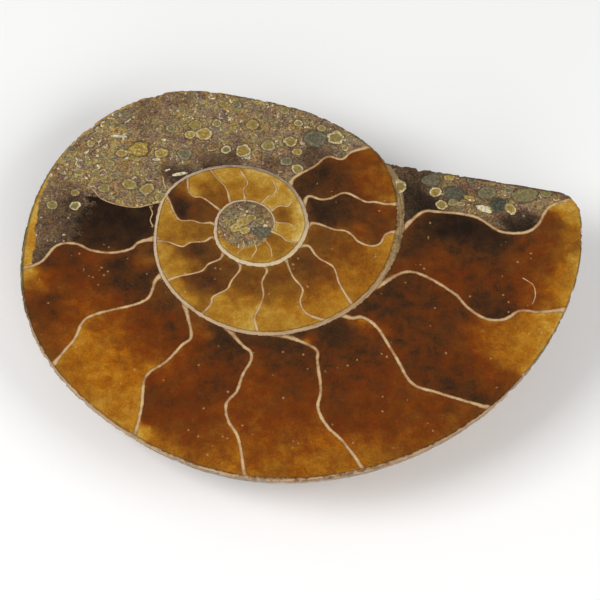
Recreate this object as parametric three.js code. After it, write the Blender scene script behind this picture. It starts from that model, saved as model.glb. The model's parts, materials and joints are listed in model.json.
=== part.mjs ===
// One half of a small ammonite, sawn through the middle of its coil and polished on the cut.
// It lies on its domed flank with the polished face up.
//
// The stone is designed on its cut face: u to the right, v away, the pole of the spiral at (0, 0),
// and the body below the face. Lengths are millimetres and angles are degrees.
// An angle goes on growing with every turn of the shell, so it says which whorl a place is on.

import * as THREE from 'three';

// ---------------------------------------------------------------- driving dimensions

// The shell wall's distance from the pole, a twelfth of a turn apart, from the first chamber out.
const WALL_STEP = 30;
const WALL_START = -720;
const WALL_RADII = [
  2.5, 2.8, 3.1, 3.4, 3.7, 3.7, 3.6, 3.8, 4.0, 4.4, 5.0, 5.4,
  5.9, 6.2, 6.9, 7.6, 8.6, 9.7, 9.8, 10.6, 11.5, 12.7, 13.7, 14.7,
  15.6, 16.5, 16.0, 16.6, 19.8, 21.8, 23.4, 25.6, 27.2, 29.8, 31.7, 33.3,
  34.6, 33.6,
];

const TURN = 360;
const STEP_ANGLE = 30; // where the broken mouth meets the whorl inside it
const MOUTH_ANGLE = 367; // where the broken mouth meets the outer edge
const HALF_BREADTH = 0.27; // deepest part of a whorl, as a share of its outer radius
const UMBILICUS = 0.18; // radius of the navel on the flank, as a share of the whorl's outer radius
const SHOULDER = 0.3; // where a whorl is deepest, as a share of the way from its seam to its rim
const FLANK_CURVE = 1.8; // a flank that stays full, then falls to the rim
const RIM_SHARPNESS = 0.6; // 0.5 would be a round rim, 1 a straight bevel
const RIM_DEPTH = 0.35; // edge of the polished face
const FILL_DEPTH = 3.6; // sediment left in the navel
const FILL_RADIUS = 8;
const BREAK_WIDTH = 2.4; // run of the broken step across the flank
const LEAN = 5.5; // how far the face tips when the stone lies at rest
const LEAN_TOWARD = 176; // the side it tips down on, counted from u

const SPOKE_STEP = 3;
const FINE_SPOKES = 12; // spokes at half the step, next to the broken step
const RINGS = 22;
const RIM_CROWDING = 1.5; // 1 would space the rings evenly
const AMBER = '#a8641c';

// ---------------------------------------------------------------- the spiral and the outline

const radians = (angle) => THREE.MathUtils.degToRad(angle);

/** Distance of the shell wall from the pole: a Catmull-Rom curve through WALL_RADII. */
function wallRadius(angle) {
  const last = WALL_RADII.length - 1;
  const place = THREE.MathUtils.clamp((angle - WALL_START) / WALL_STEP, 0, last);
  const start = Math.min(Math.floor(place), last - 1);
  const along = place - start;
  const knot = (offset) => WALL_RADII[THREE.MathUtils.clamp(start + offset, 0, last)];
  const slopeIn = (knot(1) - knot(-1)) / 2;
  const slopeOut = (knot(2) - knot(0)) / 2;
  const rise = knot(1) - knot(0);
  const square = 3 * rise - 2 * slopeIn - slopeOut;
  const cube = slopeIn + slopeOut - 2 * rise;
  return knot(0) + along * (slopeIn + along * (square + along * cube));
}

/** A place on the face, from its distance and angle about the pole. */
function onFace(angle, radius) {
  return new THREE.Vector2(radius * Math.cos(radians(angle)), radius * Math.sin(radians(angle)));
}

/** Distance of the straight broken mouth from the pole, seen at an angle between its two ends. */
function mouthRadius(angle) {
  const inner = onFace(STEP_ANGLE, wallRadius(STEP_ANGLE));
  const outer = onFace(MOUTH_ANGLE, wallRadius(MOUTH_ANGLE));
  const along = outer.clone().sub(inner);
  const ray = onFace(angle, 1);
  return inner.cross(along) / ray.cross(along);
}

/** Distance of the outline from the pole. The angle runs over one turn from the step. */
function outlineRadius(angle) {
  return angle <= MOUTH_ANGLE ? wallRadius(angle) : mouthRadius(angle);
}

// ---------------------------------------------------------------- the domed flank

/** Depth of a whorl's flank, 0 to 1, on the way from its seam (0) to its rim (1). */
function flankProfile(share) {
  if (share <= 0 || share >= 1) {
    return 0;
  }
  if (share < SHOULDER) {
    return Math.sqrt(1 - (1 - share / SHOULDER) ** 2);
  }
  return (1 - ((share - SHOULDER) / (1 - SHOULDER)) ** FLANK_CURVE) ** RIM_SHARPNESS;
}

/** Depth of the whorl that passes through one angle, under a place at some distance from the pole. */
function whorlDepth(angle, radius) {
  const outer = wallRadius(angle);
  const seam = UMBILICUS * outer;
  return HALF_BREADTH * outer * flankProfile((radius - seam) / (outer - seam));
}

/** Depth of the sediment that fills the navel. */
function fillDepth(radius) {
  return FILL_DEPTH * Math.sqrt(Math.max(0, 1 - (radius / FILL_RADIUS) ** 2));
}

/** Depth of the stone under a place. The angle runs over one turn from the step. */
function backDepth(angle, radius) {
  const inner = Math.max(whorlDepth(angle - TURN, radius), fillDepth(radius));
  const flank = Math.max(whorlDepth(angle, radius), inner);
  // Next to the step, the flank of the last whorl has broken away and leaves the whorl below it.
  const pastBreak = radians(angle - STEP_ANGLE) * radius;
  const broken = 1 - THREE.MathUtils.smoothstep(pastBreak, 0, BREAK_WIDTH);
  const lastTurn = Math.max(whorlDepth(angle + TURN, radius), flank);
  return Math.max(RIM_DEPTH, THREE.MathUtils.lerp(flank, lastTurn, broken));
}

// ---------------------------------------------------------------- the closed surface

/** Angles of the spokes over one turn, with one on each end of the broken mouth. */
function spokeAngles() {
  const angles = [];
  let angle = STEP_ANGLE;
  while (angle < STEP_ANGLE + TURN) {
    const nearMouth = Math.abs(angle - MOUTH_ANGLE) < SPOKE_STEP / 2;
    angles.push(nearMouth ? MOUTH_ANGLE : angle);
    angle += angles.length <= FINE_SPOKES ? SPOKE_STEP / 2 : SPOKE_STEP;
  }
  return angles;
}

/** The whole half as one closed geometry: flat face, edge and domed back. */
function ammoniteGeometry() {
  const spokes = spokeAngles();
  const count = spokes.length;
  const positions = [];
  const addPoint = (angle, radius, depth) => {
    const place = onFace(angle, radius);
    return positions.push(place.x, place.y, -depth) / 3 - 1;
  };

  const faceRing = spokes.map((angle) => addPoint(angle, outlineRadius(angle), 0));
  const backRings = [];
  for (let ring = RINGS; ring > 0; ring -= 1) {
    // Rings crowd together towards the rim, where the flank falls fastest.
    const share = 1 - (1 - ring / RINGS) ** RIM_CROWDING;
    backRings.push(spokes.map((angle) => {
      const radius = share * outlineRadius(angle);
      return addPoint(angle, radius, backDepth(angle, radius));
    }));
  }
  const navel = addPoint(0, 0, fillDepth(0));

  const triangles = [];
  const addBand = (upper, lower) => {
    for (let i = 0; i < count; i += 1) {
      const next = (i + 1) % count;
      triangles.push(upper[i], lower[i], lower[next]);
      triangles.push(upper[i], lower[next], upper[next]);
    }
  };
  addBand(faceRing, backRings[0]);
  for (let ring = 1; ring < backRings.length; ring += 1) {
    addBand(backRings[ring - 1], backRings[ring]);
  }
  const innermost = backRings[backRings.length - 1];
  for (let i = 0; i < count; i += 1) {
    triangles.push(innermost[i], navel, innermost[(i + 1) % count]);
  }
  const outline = faceRing.map((point) => new THREE.Vector2(positions[3 * point], positions[3 * point + 1]));
  for (const corners of THREE.ShapeUtils.triangulateShape(outline, [])) {
    triangles.push(...corners.map((corner) => faceRing[corner]));
  }

  const geometry = new THREE.BufferGeometry();
  geometry.setAttribute('position', new THREE.Float32BufferAttribute(positions, 3));
  geometry.setIndex(triangles);
  geometry.computeVertexNormals();
  return geometry;
}

// ---------------------------------------------------------------- the part

function ammoniteHalf() {
  const material = new THREE.MeshStandardMaterial({ color: AMBER, roughness: 0.18, metalness: 0 });
  const mesh = new THREE.Mesh(ammoniteGeometry(), material);
  mesh.name = 'ammonite_half';
  // The polished face looks up, tipped a little by the dome that the stone rests on.
  const flat = Math.sin(radians(LEAN));
  const faceNormal = new THREE.Vector3(
    flat * Math.cos(radians(LEAN_TOWARD)),
    flat * Math.sin(radians(LEAN_TOWARD)),
    Math.cos(radians(LEAN)),
  );
  mesh.quaternion.setFromUnitVectors(new THREE.Vector3(0, 0, 1), faceNormal);
  return mesh;
}

/** Moves a group so that the middle of its box's underside is at the origin. */
function standOnOrigin(group) {
  const box = new THREE.Box3().setFromObject(group, true);
  const middle = box.getCenter(new THREE.Vector3());
  group.position.set(-middle.x, -middle.y, -box.min.z);
}

const group = new THREE.Group();
group.add(ammoniteHalf());
standOnOrigin(group);

export default group;
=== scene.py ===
"""Looks of half an ammonite: a sawn and polished face, its edge, and the domed flank that it lies on."""
import json
import math

import bpy
import numpy as np
from mathutils import Matrix, Vector, noise
from mathutils.kdtree import KDTree


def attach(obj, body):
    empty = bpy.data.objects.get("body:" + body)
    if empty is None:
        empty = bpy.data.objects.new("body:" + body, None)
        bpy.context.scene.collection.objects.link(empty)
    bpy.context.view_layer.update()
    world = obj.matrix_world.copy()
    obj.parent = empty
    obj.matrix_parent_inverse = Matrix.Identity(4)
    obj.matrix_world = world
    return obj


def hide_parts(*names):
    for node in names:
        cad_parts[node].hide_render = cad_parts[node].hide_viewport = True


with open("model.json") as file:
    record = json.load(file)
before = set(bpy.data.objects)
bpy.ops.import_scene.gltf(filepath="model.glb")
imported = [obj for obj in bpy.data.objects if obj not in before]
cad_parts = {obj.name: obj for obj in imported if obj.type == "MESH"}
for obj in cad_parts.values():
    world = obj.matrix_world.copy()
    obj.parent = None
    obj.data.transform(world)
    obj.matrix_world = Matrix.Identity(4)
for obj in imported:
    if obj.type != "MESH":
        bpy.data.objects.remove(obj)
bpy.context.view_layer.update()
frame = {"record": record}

NODE = "ammonite_half"
MM = 0.001

# The face is drawn flat in millimetres: u to the right, v away, the pole of the spiral at (0, 0) and
# the stone below. The record's mount says where the pole is and which way the face looks.
MOUNT = frame["record"]["mounts"][0]
FACE_NORMAL = Vector(MOUNT["axis"]).normalized()
FACE_TO_ROW = (
    Matrix.Translation(Vector(MOUNT["pos_m"]))
    @ Vector((0, 0, 1)).rotation_difference(FACE_NORMAL).to_matrix().to_4x4()
    @ Matrix.Scale(MM, 4)
)

# ---------------------------------------------------------------- the shape, as the solid has it

TURN = 360
# Distance of the shell wall from the pole, every WALL_STEP degrees from WALL_START.
WALL_STEP = 30
WALL_START = -720
WALL_RADII = np.array([
    2.5, 2.8, 3.1, 3.4, 3.7, 3.7, 3.6, 3.8, 4.0, 4.4, 5.0, 5.4,
    5.9, 6.2, 6.9, 7.6, 8.6, 9.7, 9.8, 10.6, 11.5, 12.7, 13.7, 14.7,
    15.6, 16.5, 16.0, 16.6, 19.8, 21.8, 23.4, 25.6, 27.2, 29.8, 31.7, 33.3,
    34.6, 33.6,
])
STEP_ANGLE = 30
MOUTH_ANGLE = 367  # where the outer wall breaks off
HALF_BREADTH = 0.27  # depth of a whorl's flank, as a share of its outer radius
UMBILICUS = 0.18  # radius of a whorl's inner seam, as a share of its outer radius
SHOULDER = 0.3  # where the flank is deepest, as a share of the way from the seam to the rim
FLANK_CURVE = 1.8
RIM_SHARPNESS = 0.6
RIM_DEPTH = 0.35  # the stone is nowhere thinner
FILL_DEPTH = 3.6  # sediment that fills the hollow in the middle of the flank
FILL_RADIUS = 8
BREAK_WIDTH = 2.4  # the broken end falls to the whorl inside over this distance


def polar(angle, radius):
    """Places on the face, from angles in degrees and distances from the pole."""
    turn = np.radians(angle)
    return np.stack([radius * np.cos(turn), radius * np.sin(turn)], axis=-1)


def length_of(places):
    """Lengths of plane vectors: for places, their distances from the pole."""
    return np.hypot(places[..., 0], places[..., 1])


def direction_of(places):
    """Directions of plane vectors, in degrees."""
    return np.degrees(np.arctan2(places[..., 1], places[..., 0]))


def wall_radius(angle):
    """Distance of the shell wall from the pole: a Catmull-Rom curve through WALL_RADII."""
    last = len(WALL_RADII) - 1
    place = np.clip((np.asarray(angle, float) - WALL_START) / WALL_STEP, 0, last)
    start = np.minimum(place.astype(int), last - 1)
    along = place - start
    before, here, there, after = (WALL_RADII[np.clip(start + k, 0, last)] for k in (-1, 0, 1, 2))
    slope_in = (there - before) / 2
    slope_out = (after - here) / 2
    rise = there - here
    square = 3 * rise - 2 * slope_in - slope_out
    cube = slope_in + slope_out - 2 * rise
    return here + along * (slope_in + along * (square + along * cube))


def inner_radius(angle):
    """Distance of the wall one turn further in, which is the floor of the whorl at this angle."""
    return wall_radius(np.asarray(angle, float) - TURN)


def mouth_radius(angle):
    """Distance of the straight broken mouth from the pole, between its two ends."""
    inner = polar(STEP_ANGLE, wall_radius(STEP_ANGLE))
    outer = polar(MOUTH_ANGLE, wall_radius(MOUTH_ANGLE))
    along = outer - inner
    ray = polar(angle, 1.0)
    crossing = inner[0] * along[1] - inner[1] * along[0]
    return crossing / (ray[..., 0] * along[1] - ray[..., 1] * along[0])


def outline_radius(angle):
    """Distance of the outline from the pole. The angle runs over one turn from the step."""
    at_mouth = np.maximum(angle, MOUTH_ANGLE)
    return np.where(angle <= MOUTH_ANGLE, wall_radius(angle), mouth_radius(at_mouth))


def flank_profile(share):
    """Depth of a whorl's flank, 0 to 1, on the way from its seam (0) to its rim (1)."""
    share = np.clip(share, 0, 1)
    inside = np.sqrt(np.clip(1 - (1 - share / SHOULDER) ** 2, 0, 1))
    fall = np.clip((share - SHOULDER) / (1 - SHOULDER), 0, 1) ** FLANK_CURVE
    return np.where(share < SHOULDER, inside, (1 - fall) ** RIM_SHARPNESS)


def whorl_depth(angle, radius):
    """Depth of the whorl that passes through these angles, under places at these distances."""
    outer = wall_radius(angle)
    seam = UMBILICUS * outer
    return HALF_BREADTH * outer * flank_profile((radius - seam) / (outer - seam))


def back_depth(angle, radius):
    """Depth of the stone under a place. The angle runs over one turn from the step."""
    fill = FILL_DEPTH * np.sqrt(np.clip(1 - (radius / FILL_RADIUS) ** 2, 0, 1))
    flank = np.maximum.reduce([fill, whorl_depth(angle - TURN, radius), whorl_depth(angle, radius)])
    last_turn = np.maximum(flank, whorl_depth(angle + TURN, radius))
    share = np.clip(np.radians(angle - STEP_ANGLE) * radius / BREAK_WIDTH, 0, 1)
    broken = 1 - share * share * (3 - 2 * share)
    return np.maximum(RIM_DEPTH, flank + broken * (last_turn - flank))


def last_turn_angle(places):
    """Angle of places about the pole, counted over the one turn from the step."""
    return STEP_ANGLE + np.mod(direction_of(places) - STEP_ANGLE, TURN)


# ---------------------------------------------------------------- camera, floor and light

VIEW_SLANT = 31.8  # degrees from the face's normal, towards the near side
VIEW_DISTANCE = 350
VIEW_AIM = (5.2, -8.8)
LENS = 204.5
FLOOR_REACH = 3.0  # metres
FLOOR_COLOUR = (0.88, 0.88, 0.875, 1)
FLOOR_ROUGHNESS = 0.6
SKY_STRENGTH = 0.3
LIGHTS = [  # name, place and width in millimetres, and power in watts
    ("key_left", (-330, -120, 380), 260, 1.8),
    ("fill_right", (380, -160, 300), 300, 1.15),
    ("front", (20, -420, 260), 260, 0.7),
]


def in_row(place):
    """A place of the face's own frame, in millimetres, as a point of the row frame."""
    return FACE_TO_ROW @ Vector(place)


def look_along(piece, target, up):
    """Turns a camera or light at its place so that it looks at a target, with up upwards."""
    back = (piece.location - target).normalized()
    right = up.cross(back).normalized()
    turn = Matrix((right, back.cross(right), back)).transposed()
    piece.rotation_euler = turn.to_euler()


def add_object(name, data):
    """A new object in the scene."""
    piece = bpy.data.objects.new(name, data)
    bpy.context.scene.collection.objects.link(piece)
    return piece


def add_camera():
    camera = add_object("camera", bpy.data.cameras.new("camera"))
    slant = math.radians(VIEW_SLANT)
    aim = Vector((*VIEW_AIM, 0))
    camera.location = in_row(aim + VIEW_DISTANCE * Vector((0, -math.sin(slant), math.cos(slant))))
    away = FACE_TO_ROW.to_3x3() @ Vector((0, 1, 0))
    look_along(camera, in_row(aim), away)
    camera.data.lens = LENS
    camera.data.clip_start = 0.01
    bpy.context.scene.camera = camera


def add_floor():
    mesh = bpy.data.meshes.new("floor")
    corners = [(FLOOR_REACH * x, FLOOR_REACH * y, 0) for x, y in ((-1, -1), (1, -1), (1, 1), (-1, 1))]
    mesh.from_pydata(corners, [], [(0, 1, 2, 3)])
    floor = add_object("floor", mesh)
    material = bpy.data.materials.new("floor_paper")
    material.use_nodes = True
    shader = material.node_tree.nodes["Principled BSDF"]
    shader.inputs["Base Color"].default_value = FLOOR_COLOUR
    shader.inputs["Roughness"].default_value = FLOOR_ROUGHNESS
    mesh.materials.append(material)


def add_light(name, place, size, power):
    """A square soft light over the stone, placed in millimetres from the origin."""
    data = bpy.data.lights.new(name, "AREA")
    data.size = size * MM
    data.energy = power
    light = add_object(name, data)
    light.location = Vector(place) * MM
    look_along(light, Vector((0, 0, 0)), Vector((0, 0.3, 1)))


def add_lights():
    world = bpy.data.worlds.new("studio")
    world.use_nodes = True
    sky = world.node_tree.nodes["Background"]
    sky.inputs["Color"].default_value = (1, 1, 1, 1)
    sky.inputs["Strength"].default_value = SKY_STRENGTH
    bpy.context.scene.world = world
    for light in LIGHTS:
        add_light(*light)
    bpy.context.scene.view_settings.view_transform = "Standard"


# ---------------------------------------------------------------- lines on the face

# Each septum from the inner wall to the outer wall of its whorl, in the order the shell grew: angle in
# degrees, share of the way across the whorl. The last whorl's come last.
SEPTA = [
    [(-472, 0.2), (-465, 0.4), (-472, 0.7)],
    [(-435, 0.25), (-436, 0.45), (-446, 0.7)],
    [(-402, 0.2), (-408, 0.5), (-416, 0.75)],
    [(-371, 0.25), (-377, 0.5), (-382, 0.65), (-380, 1)],
    [(-341, 0), (-347, 0.1), (-351, 0.4), (-357, 0.6)],
    [(-315, 0), (-318, 0.35), (-325, 0.55), (-322, 0.75)],
    [(-290, 0), (-296, 0.35), (-300, 0.5), (-299, 0.65), (-293, 0.8)],
    [(-261, 0), (-262, 0.35), (-267, 0.5), (-262, 0.85)],
    [(-236, 0), (-243, 0.42), (-241, 0.65), (-240, 1)],
    [(-215, 0), (-217, 0.47), (-214, 0.55), (-215, 0.7), (-224, 1)],
    [(-184, 0), (-189, 0.07), (-187, 0.25), (-189, 0.4), (-188, 0.62), (-202, 0.9), (-205, 1)],
    [(-155, 0), (-164, 0.06), (-161, 0.19), (-164, 0.43), (-162, 0.55), (-169, 0.8), (-171, 1)],
    [(-134, 0), (-129, 0.12), (-134, 0.32), (-133, 0.45), (-141, 0.8), (-143, 1)],
    [(-108, 0), (-101, 0.1), (-106, 0.32), (-107, 0.46), (-114, 0.68), (-113, 0.78), (-115, 1)],
    [(-74, 0), (-71, 0.08), (-79, 0.25), (-80, 0.44), (-84, 0.62), (-87, 0.78), (-86, 1)],
    [(-45, 0), (-53, 0.26), (-54, 0.48), (-60, 0.62), (-61, 0.74), (-60, 0.83), (-55, 1)],
    [(-25, 0), (-20, 0.09), (-27, 0.26), (-29, 0.48), (-36, 0.66), (-42, 1)],
    [(-1, 0), (5, 0.05), (4, 0.13), (-1, 0.29), (-2, 0.42), (-5, 0.51), (-8, 0.57), (-10, 0.73),
     (-8, 0.82), (-3, 0.86), (-1, 1)],
    [(26, 0), (33, 0.1), (26, 0.2), (24, 0.29), (24, 0.46), (15, 0.65), (14, 0.74), (12, 0.84), (11, 1)],
    [(52, 0), (54, 0.1), (49, 0.39), (48, 0.57), (42, 0.66), (42, 0.79), (39, 1)],
    [(187, 0), (189, 0.13), (191.5, 0.17), (192, 0.32), (189.5, 0.47), (186, 0.6), (186, 0.73),
     (191, 0.85), (192, 1)],
    [(212, 0), (213.5, 0.06), (219.5, 0.18), (213.5, 0.62), (217, 0.75), (218.5, 0.87), (220, 1)],
    [(233.5, 0), (246, 0.18), (244.5, 0.25), (242.5, 0.42), (240, 0.55), (240, 0.61), (243.5, 0.79),
     (245.5, 1)],
    [(258.5, 0), (268.5, 0.11), (270.5, 0.13), (271, 0.18), (268, 0.3), (266.5, 0.42), (264, 0.52),
     (265, 0.63), (267.5, 0.72), (269.5, 1)],
    [(280, 0), (286.5, 0.03), (295, 0.16), (293.5, 0.22), (290.5, 0.42), (288, 0.53), (288.5, 0.66),
     (290.5, 0.78), (292, 1)],
    [(311.5, 0), (314, 0.06), (316.5, 0.08), (317.5, 0.16), (314, 0.39), (311.5, 0.6), (314, 0.73),
     (318.5, 1)],
    [(329, 0), (332.5, 0.02), (342, 0.12), (339, 0.41), (336.5, 0.51), (335.5, 0.64), (337, 0.72),
     (340, 0.77), (341, 0.87), (343, 1)],
    [(358, 0), (366.5, 0.13), (366, 0.2), (363.5, 0.41), (359, 0.56), (359, 0.69), (360.5, 0.75),
     (364.5, 0.82), (365.6, 0.88), (366, 0.93)],
]
POCKET_TOP = [(-17, 5.3), (-16.4, 4.7), (-15.6, 3.7), (-13.8, 2.9), (-12, 2.6), (-10.6, 2.9), (-9.6, 3.2)]
LOOSE_LINES = [  # pale lines that bound no chamber
    POCKET_TOP,
    [(-10.5, 2.7), (-10.2, 1.9), (-10.4, 1), (-10.1, 0.2)],
    [(-9.2, 6.4), (-9.1, 5.7), (-8.9, 5)],
    [(28.3, -6.2), (29.2, -7), (29.4, -8.2), (29.1, -9.2)],
]
LOOSE_WIDTH = 0.06
NO_GRAIN = 3.0  # this many times a grain's size away, or more
SEDIMENT_CHAMBERS = (20, 28)  # counted by the septa behind them: one under the top, one in the mouth
CORE_RADIUS = 1.2  # floor of the first whorl, which has no wall inside it
WHORLS = 3
SAMPLE_GAP = 0.05  # millimetres between the points of a line
WALL_GAP = 0.1  # degrees between the points of the wall
OUTLINE_GAP = 0.05  # and of the outline


def place_in_whorl(angle, share):
    """Places at a share of the way across the whorl that passes through an angle."""
    angle = np.asarray(angle, float)
    floor = np.where(angle - TURN < WALL_START, CORE_RADIUS, inner_radius(angle))
    return polar(angle, floor + share * (wall_radius(angle) - floor))


def share_across(angle, radius):
    """Share of the way across the whorl that passes through an angle."""
    floor = np.where(angle - TURN < WALL_START, CORE_RADIUS, inner_radius(angle))
    return (radius - floor) / (wall_radius(angle) - floor)


def angle_near(places, centre):
    """Angles of places about the pole, counted so that they lie within half a turn of a centre."""
    return centre + np.mod(direction_of(places) - centre + TURN / 2, TURN) - TURN / 2


def whorl_angle(places):
    """Angle of each place, counted along the whole shell, so that it also tells the whorl."""
    radius = length_of(places)
    angle = last_turn_angle(places)
    for _ in range(WHORLS):
        further_in = (radius < wall_radius(angle - TURN)) & (angle - TURN >= WALL_START)
        angle = np.where(further_in, angle - TURN, angle)
    return angle


def smooth_curve(knots, steps=40):
    """A centripetal Catmull-Rom curve through plane points."""
    knots = np.asarray(knots, float)
    knots = np.vstack([2 * knots[0] - knots[1], knots, 2 * knots[-1] - knots[-2]])
    times = np.concatenate([[0], np.cumsum(np.sqrt(length_of(np.diff(knots, axis=0))))])
    pieces = []
    for i in range(1, len(knots) - 2):
        t = np.linspace(times[i], times[i + 1], steps, endpoint=False)[:, None]

        def blend(first, second, low, high):
            return ((times[high] - t) * first + (t - times[low]) * second) / (times[high] - times[low])

        one = blend(knots[i - 1], knots[i], i - 1, i)
        two = blend(knots[i], knots[i + 1], i, i + 1)
        three = blend(knots[i + 1], knots[i + 2], i + 1, i + 2)
        pieces.append(blend(blend(one, two, i - 1, i + 1), blend(two, three, i, i + 2), i, i + 1))
    pieces.append(knots[-2:-1])
    return np.vstack(pieces)


def evenly(points, gap=SAMPLE_GAP):
    """The same line with points an even gap apart."""
    length = np.concatenate([[0], np.cumsum(length_of(np.diff(points, axis=0)))])
    stations = np.arange(0, length[-1], gap)
    return np.stack([np.interp(stations, length, points[:, k]) for k in (0, 1)], axis=-1)


def nearest(line, places):
    """Distance from each place to the closest point of a line, and that point's number."""
    tree = KDTree(len(line))
    for i, (u, v) in enumerate(line):
        tree.insert((u, v, 0), i)
    tree.balance()
    found = [tree.find((u, v, 0)) for u, v in places]
    return np.array([hit[2] for hit in found]), np.array([hit[1] for hit in found])


def side_of(line, places):
    """Distance from the nearest point of a line, below zero to the right of its course."""
    gap, index = nearest(line, places)
    course = np.gradient(line, axis=0)[index]
    offset = places - line[index]
    return np.where(course[:, 0] * offset[:, 1] - course[:, 1] * offset[:, 0] > 0, gap, -gap)


SEPTUM_LINES = [
    evenly(smooth_curve([place_in_whorl(angle, share) for angle, share in septum])) for septum in SEPTA
]
SEPTUM_ANGLES = [float(np.mean([angle for angle, _ in septum])) for septum in SEPTA]
SEPTUM_SIDE_REACH = 1.5  # closer than this to a septum, the side of its line tells the chamber


def chamber_of(places):
    """How many septa the shell grew before each place, and the nearest one's distance and number.

    The distance is below zero on the older side of the septum.
    """
    angle = whorl_angle(places)
    share = share_across(angle, length_of(places))
    behind = np.zeros(len(places), int)
    for line, middle in zip(SEPTUM_LINES, SEPTUM_ANGLES):
        line_angle = angle_near(line, middle)
        shares = share_across(line_angle, length_of(line))
        order = np.argsort(shares)
        behind += angle > np.interp(share, shares[order], line_angle[order])
    points = np.vstack(SEPTUM_LINES)
    owner = np.concatenate([np.full(len(line), i) for i, line in enumerate(SEPTUM_LINES)])
    tangent = np.vstack([np.gradient(line, axis=0) for line in SEPTUM_LINES])
    gap, index = nearest(points, places)
    offset = places - points[index]
    beyond = tangent[index, 0] * offset[:, 1] - tangent[index, 1] * offset[:, 0] > 0
    same_whorl = np.abs(np.array(SEPTUM_ANGLES)[owner[index]] - angle) < TURN / 2
    beside = (gap < SEPTUM_SIDE_REACH) & same_whorl
    return np.where(beside, owner[index] + beyond, behind), np.where(beyond, gap, -gap), owner[index]


# ---------------------------------------------------------------- what the chambers hold

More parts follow.
